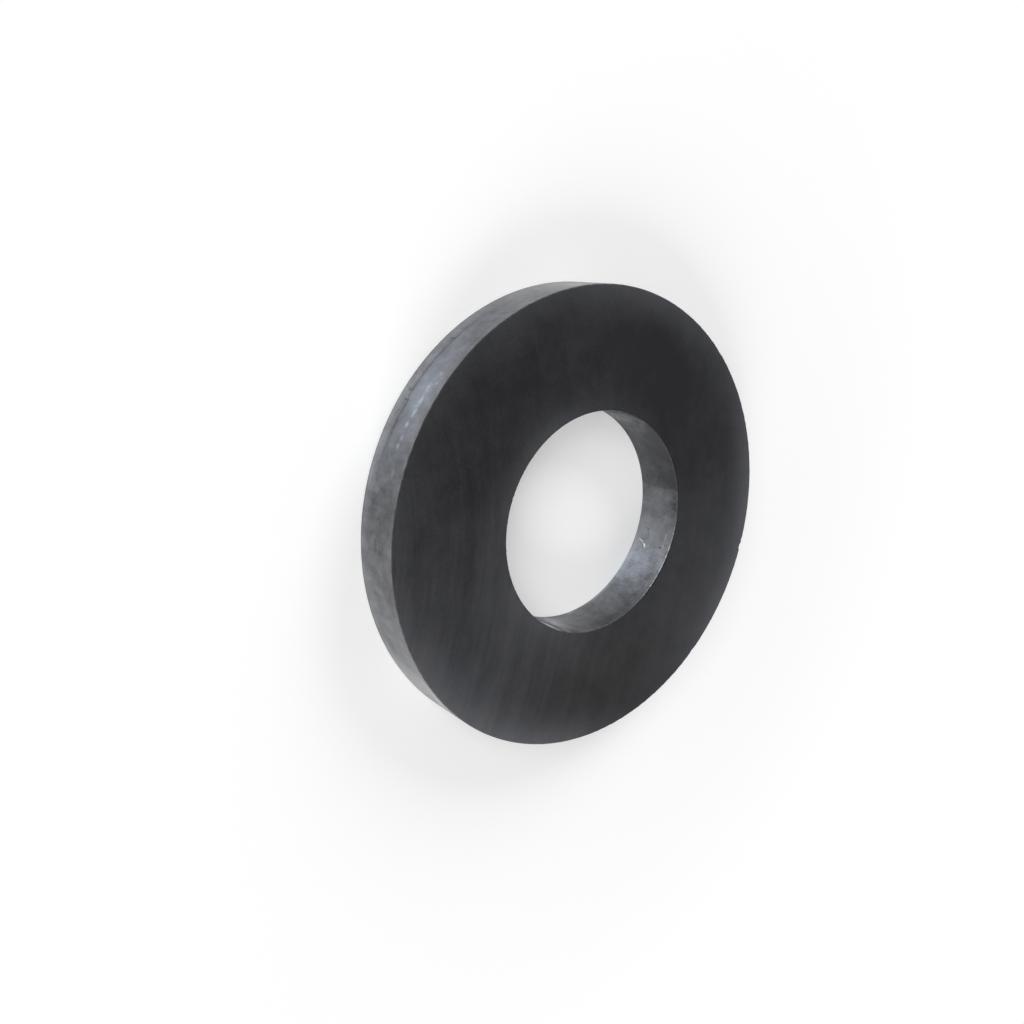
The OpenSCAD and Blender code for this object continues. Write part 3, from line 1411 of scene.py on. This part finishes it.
@dataclass(frozen=True)
class Crack(Damage):
    """The lamination crack that runs round the outer wall above the rear face, in mm and degrees.

    Attributes:
        wall_r: Radius of the outer wall.
        height: Height of the crack's middle.
        width: Its width where it opens on the wall.
        depth: Its depth.
        drop: How far it drops along its whole course.
        step: How far it steps back up where it breaks off and starts again.
        step_at: Where that step is, as a share of its course.
        step_over: Over what share of its course it steps up.
        start: The direction in which it starts.
        sweep: How far it runs round the axis.
        spurs: Its spurs.
        hops: Its own unevenness up and down.
        bent: How far from it the rows of the mesh are bent along with it.
        openness: How open it is on average, as a share of its width.
        gape: How its opening changes.
        least_open: How open it is at least.
        opens: Over what share of its course it opens.
        closes: Over what share of its course it closes.
        after_step: Over what share of its course it narrows, after its step.
        narrowing: How much of its opening it loses there.
        stain: How dark the painted shade along it is, before its step and by how much more after it.
        stain_reach: How far the painted shade reaches, before its step and by how much more after it.
        spur_width: Half the width of the spurs, as a share of its own.
        spur_open: How open the spurs are.
        spur_stain: How dark the painted shade along the spurs is.
        spur_stain_reach: How far that painted shade reaches.
        spur_waver: The spurs' unevenness.
    """

    wall_r: float
    height: float = 1.9
    width: float = 0.16
    depth: float = 0.12
    drop: float = 1.05
    step: float = 0.35
    step_at: float = 0.6
    step_over: float = 0.03
    start: float = -131.0
    sweep: float = 47.0
    spurs: tuple[Spur, ...] = (Spur(0.245, 0.85), Spur(0.56, 0.8), Spur(0.61, 1.0))
    hops: tuple[Waver, ...] = (Waver(0.05, 18.0, seed=11), Waver(0.03, 60.0, seed=12))
    bent: float = 0.9
    openness: float = 0.6
    gape: Waver = Waver(0.6, 45.0, seed=13)
    least_open: float = 0.15
    opens: float = 0.28
    closes: float = 0.2
    after_step: float = 0.2
    narrowing: float = 0.5
    stain: tuple[float, float] = (0.33, 0.1)
    stain_reach: tuple[float, float] = (0.25, 0.08)
    spur_width: float = 0.6
    spur_open: float = 0.45
    spur_stain: float = 0.4
    spur_stain_reach: float = 0.24
    spur_waver: Waver = Waver(0.05, 4.0, seed=14)

    def direction(self, share: float) -> float:
        """Returns the direction at a share of the crack's course, in degrees."""
        return self.start + share * self.sweep

    def middle(self, along: np.ndarray) -> np.ndarray:
        """Works out the crack's course.

        Args:
            along: Shares of its length.

        Returns:
            How far it lies above its mean height at each share.
        """
        along = np.clip(along, -0.1, 1.1)
        hops = sum(hop.at(along) for hop in self.hops)
        stepped = ramp((along - self.step_at) / self.step_over + 0.5)
        return self.drop * (0.5 - along) + self.step * stepped + hops

    def bend_rows(self, skin: Skin, along: np.ndarray, offset: np.ndarray) -> None:
        """Bends the nearby rows of the outer wall along the crack.

        Args:
            skin: The skin, which is changed.
            along: The share of the crack's course at each segment.
            offset: The height of each point above the crack's mean height.
        """
        edge_top = 0.2  # in mm: the worn rear edge lies below this height and stays straight
        fading = 5  # beyond each end, the bend fades over a fifth of the crack's course
        near = hump(offset, self.bent) * ramp(skin.height - edge_top) * skin.on(Surface.OUTER_WALL)
        fade = ramp(along * fading + 1) * ramp((1 - along) * fading + 1)
        skin.height[...] += self.middle(along) * near * fade

    def cut(self, skin: Skin) -> None:
        """Bends the nearby rows along the crack, sinks the ones inside it and its spurs, and paints shade
        in and along them.

        Args:
            skin: The skin, which is changed.
        """
        along = (skin.angle - self.start) / self.sweep
        wall = skin.on(Surface.OUTER_WALL)
        offset = skin.height - self.height
        self.bend_rows(skin, along, offset)
        ends = ramp(along, self.opens) * ramp(1 - along, self.closes)
        after = ramp(along - self.step_at, self.after_step)
        gape = np.clip(self.openness + self.gape.at(along), self.least_open, 1.0)
        opening = ends * gape * (1 - self.narrowing * after)
        groove = ramp(1 - np.abs(offset) / (self.width / 2)) * opening
        dark, darker = self.stain
        reach, wider = self.stain_reach
        stain = (dark + darker * after) * hump(offset, reach + wider * after) * ends
        top_ease, foot_ease = 0.05, 0.2  # in mm: how fast a spur begins and ends
        spur_reach = self.width * self.spur_width
        for spur in self.spurs:
            beside = skin.beside(self.direction(spur.share), self.wall_r) + self.spur_waver.at(offset)
            below = ramp(-offset, top_ease) * ramp(spur.length + offset, foot_ease)
            groove = np.maximum(groove, self.spur_open * hump(beside, spur_reach) * below)
            stain = np.maximum(stain, self.spur_stain * hump(beside, self.spur_stain_reach) * below)
        skin.radius[...] -= self.depth * groove * wall
        # Painted shade in the crack and its spurs, and along them.
        skin.raise_mark(Mark.SUNK, np.maximum(np.minimum(groove * PAINTED_SHADE_GAIN, 1.0), stain) * wall)


@dataclass(frozen=True)
class Gouge(Damage):
    """A scrape in the bore: a groove with painted shade, and a broken lip above it with a painted
    highlight, wider at a dab.

    Attributes:
        line: The groove's course from its upper end.
        width: Half the width of the groove, in mm.
        depth: Depth of the groove, in mm.
        ends: Over what share of its course each end fades.
        dab_at: Where the lip is widest, as a share of its course.
        dab_reach: How far the dab reaches to either side, as a share.
        gap_at: Where the lip is broken, as a share of its course.
        gap_reach: How far the gap reaches to either side, as a share.
        lip_widths: Half the width of the plain lip, what the dab adds and what the gap takes, in widths
            of the groove.
        lip_away: How far the lip is from the groove, in widths of the groove.
        lip_rise: How far the lip rises, in depths of the groove.
        lip_shine: How strong the painted highlight on the plain lip is, what the dab adds and what the gap
            takes.
        groove_dark: How dark the painted shade in the plain groove is, and what the dab adds.
    """

    line: WallLine
    width: float = 0.075
    depth: float = 0.06
    ends: float = 0.12
    dab_at: float = 0.25
    dab_reach: float = 0.13
    gap_at: float = 0.47
    gap_reach: float = 0.06
    lip_widths: tuple[float, float, float] = (1.5, 1.3, 0.6)
    lip_away: float = 0.7
    lip_rise: float = 0.3
    lip_shine: tuple[float, float, float] = (0.85, 0.35, 0.5)
    groove_dark: tuple[float, float] = (0.45, 0.35)

    def cut(self, skin: Skin) -> None:
        """Sinks the groove and raises its lip, and paints shade in the groove and a highlight on the lip.

        Args:
            skin: The skin, which is changed.
        """
        aside, share = self.line.measured(skin)
        ends = ramp(share, self.ends) * ramp(1 - share, self.ends) * skin.on(Surface.BORE_WALL)
        dab = hump(share - self.dab_at, self.dab_reach, 4)
        gap = hump(share - self.gap_at, self.gap_reach)
        plain, wider, narrower = self.lip_widths
        lip_width = self.width * (plain + wider * dab - narrower * gap)
        groove = hump(aside, self.width) * ends
        lip = hump(aside - self.lip_away * self.width - lip_width, lip_width, 4) * ends
        skin.radius[...] += self.depth * groove - self.lip_rise * self.depth * lip
        dark, darker = self.groove_dark
        # Painted shade in the groove.
        skin.raise_mark(Mark.SUNK, groove * (dark + darker * dab))
        shine, brighter, duller = self.lip_shine
        # Painted highlight on the lip.
        skin.raise_mark(Mark.FRESH, lip * (shine + brighter * dab - duller * gap))


@dataclass(frozen=True)
class Scuff(Damage):
    """A faint broken scuff in the bore, part of a circle that something round has pressed in.

    Attributes:
        line: Its course.
        width: Half its width, in mm.
        depth: Its depth, in mm.
        breaks: How it is broken up along its course.
        starts: Over what share of its course it comes in.
        fades: Over what share of its course it goes out.
        dark: How dark it is, from 0 to 1.
    """

    line: WallLine
    width: float = 0.08
    depth: float = 0.02
    breaks: Waver = Waver(0.9, 26.0, seed=31)
    starts: float = 0.1
    fades: float = 0.2
    dark: float = 0.85

    def cut(self, skin: Skin) -> None:
        """Sinks a shallow broken line and marks it.

        Args:
            skin: The skin, which is changed.
        """
        aside, share = self.line.measured(skin)
        dots = ramp(0.5 + self.breaks.at(share))
        ends = ramp(share, self.starts) * ramp(1 - share, self.fades) * skin.on(Surface.BORE_WALL)
        mark = hump(aside, self.width) * dots * ends
        skin.radius[...] += self.depth * mark
        skin.raise_mark(Mark.SUNK, mark * self.dark)


@dataclass(frozen=True)
class Pore(Damage):
    """A small round pore in the bore, in mm and degrees.

    Attributes:
        wall_r: Radius of the bore.
        direction: Its direction.
        height: Its height.
        radius: Its radius.
        depth: Its depth, as a share of its radius.
    """

    wall_r: float
    direction: float
    height: float
    radius: float
    depth: float = 0.7

    def cut(self, skin: Skin) -> None:
        """Sinks the pore into the wall and paints shade in it.

        Args:
            skin: The skin, which is changed.
        """
        distance = np.hypot(skin.beside(self.direction, self.wall_r), skin.height - self.height)
        hollow = ramp(1 - (distance / self.radius) ** 2) * skin.on(Surface.BORE_WALL)
        skin.radius[...] += self.radius * self.depth * hollow
        # Painted shade in the pore.
        skin.raise_mark(Mark.SUNK, hollow * PAINTED_SHADE_GAIN)


# ---------------------------------------------------------------------------------------------------------
# The ring
# ---------------------------------------------------------------------------------------------------------


@dataclass
class MagnetRing:
    """The whole ring as one fine mesh, in millimetres until it is handed to Blender.

    Attributes:
        outer_r: Radius of the outer wall.
        bore_r: Radius of the bore.
        thick: Thickness between the two faces.
        edge_r: Radius worn on all four edges.
        segments: How many segments the mesh has round the axis.
        corner_rows: How many rows follow each worn edge.
        wall_rows: How many rows there are up the outer wall, with its ends.
        face_rows: How many rows there are across the front face, with its ends.
        bore_rows: How many rows there are down the bore, with its ends.
        rear_rows: How many rows there are across the rear face, with its ends.
        chips: The chips in the front rim.
        bore_nicks: The nicks in the bore's front edge.
        gouge_path: The gouge in the bore, each point a direction and a height.
        scuff_path: The scuff in the bore, in the same way.
        crack: The crack in the outer wall.
        pore: The pore in the bore.
    """

    outer_r: float
    bore_r: float
    thick: float
    edge_r: float = 0.1
    segments: int = 1000
    corner_rows: int = 4
    wall_rows: int = 32
    face_rows: int = 18
    bore_rows: int = 36
    rear_rows: int = 4
    chips: tuple[Chip, ...] = (
        Chip(63.4, 1.49, 0.13),
        Chip(73.4, 1.02, 0.08),
        Chip(96.8, 1.45, 0.23),
        Chip(98.9, 1.16, 0.13),
        Chip(157.2, 1.81, 0.10),
    )
    bore_nicks: tuple[Chip, ...] = (
        Chip(97.8, 0.43, 0.08),
        Chip(90.2, 0.57, 0.12),
        Chip(88.8, 0.50, 0.11),
        Chip(84.8, 0.50, 0.14),
        Chip(78.7, 0.50, 0.11),
        Chip(76.6, 0.57, 0.12),
        Chip(72.6, 0.50, 0.09),
        Chip(69.4, 0.36, 0.08),
        Chip(66.6, 0.55, 0.12),
        Chip(60.0, 0.36, 0.08),
    )
    gouge_path: tuple[tuple[float, float], ...] = (
        (84.5, 2.5), (85.4, 2.25), (86.5, 2.05), (87.6, 1.7), (89.1, 0.85),
    )
    scuff_path: tuple[tuple[float, float], ...] = (
        (90.4, 1.2), (89.9, 1.8), (90.3, 2.3), (91.2, 2.5), (92.5, 2.6), (93.9, 2.35), (95.2, 2.2),
        (96.6, 2.05), (96.3, 1.3),
    )
    crack: Crack = field(init=False)
    pore: Pore = field(init=False)

    def __post_init__(self) -> None:
        """Sets the crack in the outer wall and the pore in the bore."""
        self.crack = Crack(self.outer_r)
        self.pore = Pore(self.bore_r, direction=88.2, height=5.25, radius=0.15)

    @classmethod
    def from_frame(cls, node: str, bore_mm: float) -> "MagnetRing":
        """Takes the ring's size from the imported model.

        Args:
            node: Name of the ring's node.
            bore_mm: Radius of the bore from the record, in mm.

        Returns:
            The ring.
        """
        low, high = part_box(node)
        return cls(outer_r=(high[0] - low[0]) / 2 / MM, bore_r=bore_mm, thick=(high[2] - low[2]) / MM)

    def corner(self, out: float, up: float, start: float) -> np.ndarray:
        """Returns the points of a worn edge.

        Args:
            out: Radius at which the middle of its rounding lies.
            up: Height at which the middle of its rounding lies.
            start: Direction of its first point, in degrees.

        Returns:
            The points, each a radius and a height.
        """
        turn = np.radians(np.linspace(start, start + 90.0, self.corner_rows))
        return np.stack([out + self.edge_r * np.cos(turn), up + self.edge_r * np.sin(turn)], axis=-1)

    @staticmethod
    def straight(start: np.ndarray, end: np.ndarray, rows: int, crowds: Sequence[Crowd]) -> np.ndarray:
        """Returns the points between two corners, without the corners' own end points.

        Args:
            start: Last point of the corner before.
            end: First point of the corner after.
            rows: How many points there would be with both ends.
            crowds: Where the points lie closer together, as heights on a wall or radii on a face.

        Returns:
            The points, each a radius and a height.
        """
        upright = start[0] == end[0]
        varied = spaced(start[int(upright)], end[int(upright)], rows, crowds)[1:-1]
        fixed = np.full_like(varied, start[1 - int(upright)])
        return np.stack([fixed, varied] if upright else [varied, fixed], axis=-1)

    def section(self) -> tuple[np.ndarray, list[Surface]]:
        """Works out the half section, from the outer rear corner round to the rear face.

        Returns:
            The section's points, and the surface that follows each point.
        """
        out, bore, top, edge = self.outer_r, self.bore_r, self.thick, self.edge_r
        rear_outer = self.corner(out - edge, edge, -90)
        front_outer = self.corner(out - edge, top - edge, 0)
        front_bore = self.corner(bore + edge, top - edge, 90)
        rear_bore = self.corner(bore + edge, edge, 180)
        over_crack, by_rim = Crowd(self.crack.height, 0.3, 10.0), Crowd(top, 0.35, 4.0)
        at_rim, at_bore = Crowd(out, 0.5, 9.0), Crowd(bore, 0.3, 6.0)
        over_gouge, over_pore = Crowd(2.1, 0.8, 3.5), Crowd(self.pore.height, 0.15, 5.0)
        over_nicks = Crowd(top, 0.2, 7.0)
        wall = self.straight(rear_outer[-1], front_outer[0], self.wall_rows, (over_crack, by_rim))
        face = self.straight(front_outer[-1], front_bore[0], self.face_rows, (at_rim, at_bore))
        down_bore = (over_gouge, over_pore, over_nicks)
        bore_wall = self.straight(front_bore[-1], rear_bore[0], self.bore_rows, down_bore)
        rear = self.straight(rear_bore[-1], rear_outer[0], self.rear_rows, ())
        stretches = (
            (Surface.OUTER_WALL, (rear_outer, wall, front_outer[:1])),
            (Surface.FACE, (front_outer[1:], face, front_bore[:1])),
            (Surface.BORE_WALL, (front_bore[1:], bore_wall, rear_bore[:-1])),
            (Surface.FACE, (rear_bore[-1:], rear)),
        )
        points = np.concatenate([part for _, parts in stretches for part in parts])
        kinds = [kind for kind, parts in stretches for part in parts for _ in part]
        return points, kinds

    def damage(self) -> list[Damage]:
        """Lists what has happened to the ring.

        Returns:
            The damage, in the order in which it is cut.
        """
        ends = 2  # a straight stretch leaves its two ends to the corners beside it
        rim = self.corner_rows + self.wall_rows - ends
        bore_edge = rim + self.corner_rows + self.face_rows - ends
        rim_rows, bore_edge_rows = (slice(row, row + self.corner_rows) for row in (rim, bore_edge))
        return [
            # Both front edges are worn, with a painted highlight in patches.
            EdgeWear(rim_rows, 1, pitch=2.0, seed=21, pale_at=95.0, pale_spread=40.0, paleness=0.15),
            EdgeWear(bore_edge_rows, -1, pitch=1.5, seed=22, pale_at=78.0, pale_spread=24.0, paleness=0.35),
            self.crack,
            Gouge(WallLine(self.bore_r, self.gouge_path)),
            Scuff(WallLine(self.bore_r, self.scuff_path)),
            self.pore,
            *(Scoop(chip, self.outer_r, self.thick) for chip in self.chips),
            *(Scoop(nick, self.bore_r, self.thick, outward=-1, freshness=0.4) for nick in self.bore_nicks),
        ]

    def skin(self) -> Skin:
        """Works out the ring's surface, with its damage.

        Returns:
            The skin.
        """
        section, kinds = self.section()
        over_gouge, over_scuff = Crowd(87.5, 3.0, 2.0), Crowd(93.4, 4.0, 1.5)
        over_nicks = Crowd(78.0, 20.0, 0.4)
        crowds = [Crowd(chip.direction, 1.6, 2.5) for chip in self.chips]
        crowds += [Crowd(self.crack.direction(spur.share), 0.5, 4.0) for spur in self.crack.spurs]
        crowds += [over_gouge, over_scuff, over_nicks]
        angles = spaced(-180.0, 180.0, self.segments + 1, crowds)[:-1]
        skin = Skin.swept(angles, section, kinds)
        for damage in self.damage():
            damage.cut(skin)
        return skin

    def build(self, name: str) -> bpy.types.Object:
        """Makes the ring's object.

        Args:
            name: The object's name.

        Returns:
            The object, in metres and without materials.
        """
        skin = self.skin()
        segments, rows = skin.radius.shape
        index = np.arange(segments * rows).reshape(segments, rows)
        ahead = np.roll(index, -1, axis=0)
        quads = np.stack([index, ahead, np.roll(ahead, -1, axis=1), np.roll(index, -1, axis=1)], axis=-1)
        mesh = bpy.data.meshes.new(name)
        mesh.from_pydata((skin.points().reshape(-1, 3) * MM).tolist(), [], quads.reshape(-1, 4).tolist())
        surfaces = np.tile([kind.value for kind in skin.kinds], segments)
        mesh.polygons.foreach_set("material_index", surfaces.astype(np.int32))
        mesh.polygons.foreach_set("use_smooth", np.ones(segments * rows, dtype=bool))
        for mark, strength in skin.marks.items():
            layer = mesh.attributes.new(mark.value, "FLOAT", "POINT")
            layer.data.foreach_set("value", strength.reshape(-1).astype(np.float32))
        mesh.update()
        piece = bpy.data.objects.new(name, mesh)
        bpy.context.collection.objects.link(piece)
        return piece

    @staticmethod
    def dress(piece: bpy.types.Object) -> None:
        """Gives each kind of surface on the ring its finish."""
        for surface in Surface:
            piece.data.materials.append(FINISHES[surface].make())


# ---------------------------------------------------------------------------------------------------------
# Studio
# ---------------------------------------------------------------------------------------------------------


@dataclass(frozen=True)
class SoftBox:
    """A square soft lamp that looks at the ring.

    Attributes:
        name: The lamp's name.
        direction: Where it stands, in degrees round the axis from +X.
        rise: Its angle above the floor, in degrees.
        distance: How far it stands from the ring, in metres.
        size: Its side, in metres.
        power: Its power, in watts.
    """

    name: str
    direction: float
    rise: float
    distance: float
    size: float
    power: float

    def place(self) -> None:
        """Adds the lamp."""
        lamp = bpy.data.lights.new(self.name, "AREA")
        lamp.shape = "SQUARE"
        lamp.size = self.size
        lamp.energy = self.power
        thing = bpy.data.objects.new(self.name, lamp)
        turn, rise = math.radians(self.direction), math.radians(self.rise)
        outward = Vector((math.cos(turn) * math.cos(rise), math.sin(turn) * math.cos(rise), math.sin(rise)))
        thing.location = outward * self.distance
        thing.rotation_euler = outward.to_track_quat("Z", "Y").to_euler()
        bpy.context.collection.objects.link(thing)


@dataclass(frozen=True)
class Studio:
    """The floor, the lamps, the world and the camera.

    Attributes:
        floor_size: Side of the floor, in metres.
        ambient: Strength of the world's even light.
        lamps: The lamps.
        camera_back: How far the camera is from the ring's axis, towards -Y, in metres.
        camera_height: Its height above the floor, in metres.
        camera_pitch: How far it looks down, in degrees.
        camera_yaw: How far it is turned about the upright, in degrees.
        camera_roll: How far it is rolled about its own axis, in degrees.
        sensor: Width of its sensor, in mm.
        lens: Its focal length, in mm.
        shift: How far its view is shifted aside and up, as shares of the sensor.
        nearest: The nearest that it sees, in metres.
    """

    floor_size: float = 6.0
    ambient: float = 0.25
    lamps: tuple[SoftBox, ...] = (
        SoftBox("key_lamp", direction=-100.0, rise=38.0, distance=0.9, size=0.5, power=4.0),
        SoftBox("left_lamp", direction=175.0, rise=27.0, distance=0.8, size=0.4, power=2.9),
        SoftBox("right_lamp", direction=-5.0, rise=27.0, distance=0.8, size=0.4, power=2.9),
    )
    camera_back: float = 83.8 * MM
    camera_height: float = 93.0 * MM
    camera_pitch: float = 46.5
    camera_yaw: float = -0.74
    camera_roll: float = 109.0
    sensor: float = 36.0
    lens: float = 32.75
    shift: tuple[float, float] = (-0.0705, 0.0154)
    nearest: float = 5 * MM

    def lay_floor(self) -> None:
        """Adds the floor, level with the face that the ring lies on."""
        mesh = bpy.data.meshes.new("floor")
        half = self.floor_size / 2
        corners = [(-half, -half, 0), (half, -half, 0), (half, half, 0), (-half, half, 0)]
        mesh.from_pydata(corners, [], [(0, 1, 2, 3)])
        mesh.materials.append(Backdrop().make())
        floor = bpy.data.objects.new("floor", mesh)
        bpy.context.collection.objects.link(floor)

    def light(self) -> None:
        """Adds the lamps and the world's even light, which the camera sees as white."""
        for lamp in self.lamps:
            lamp.place()
        world = bpy.data.worlds.new("studio")
        bpy.context.scene.world = world
        world.use_nodes = True
        graph = Graph(world.node_tree, "ShaderNodeOutputWorld")
        even = graph.node("ShaderNodeBackground", Color=WHITE, Strength=self.ambient)
        white = graph.node("ShaderNodeBackground", Color=WHITE, Strength=1.0)
        graph.show(graph.blend(even, white, graph.seen_directly()))

    def set_camera(self) -> None:
        """Places the camera so that it looks down on the ring, rolled as the view needs."""
        data = bpy.data.cameras.new("camera")
        data.sensor_width = self.sensor
        data.lens = self.lens
        data.shift_x, data.shift_y = self.shift
        data.clip_start = self.nearest
        camera = bpy.data.objects.new("camera", data)
        camera.location = (0.0, -self.camera_back, self.camera_height)
        level = Euler((math.radians(90 - self.camera_pitch), 0.0, math.radians(self.camera_yaw)))
        roll = Euler((0.0, 0.0, math.radians(self.camera_roll)))
        camera.rotation_mode = "QUATERNION"
        camera.rotation_quaternion = level.to_quaternion() @ roll.to_quaternion()
        bpy.context.collection.objects.link(camera)
        bpy.context.scene.camera = camera

    def set_colours(self) -> None:
        """Shows colours as they are written."""
        bpy.context.scene.view_settings.view_transform = "Standard"

    def set_up(self) -> None:
        """Sets up the colours, the camera, the floor and the light."""
        self.set_colours()
        self.set_camera()
        self.lay_floor()
        self.light()
        log.info("studio: %d lamps", len(self.lamps))


def bore_radius(record: dict[str, Any]) -> float:
    """Returns the radius of the ring's bore in mm, from the record's mounts."""
    return next(mount for mount in record["mounts"] if mount["name"] == "bore")["dims"]["r_mm"]


def main() -> None:
    """Builds the studio and the ring with its finishes."""
    logging.basicConfig(level=logging.INFO, format="%(name)s: %(message)s")
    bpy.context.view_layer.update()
    Studio().set_up()

    ring = MagnetRing.from_frame("magnet_ring", bore_radius(frame["record"]))
    piece = ring.build("ferrite_ring")
    ring.dress(piece)
    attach(piece, "root")
    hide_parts("magnet_ring")
    log.info("%s: %d faces", piece.name, len(piece.data.polygons))


if __name__ == "__main__":
    main()
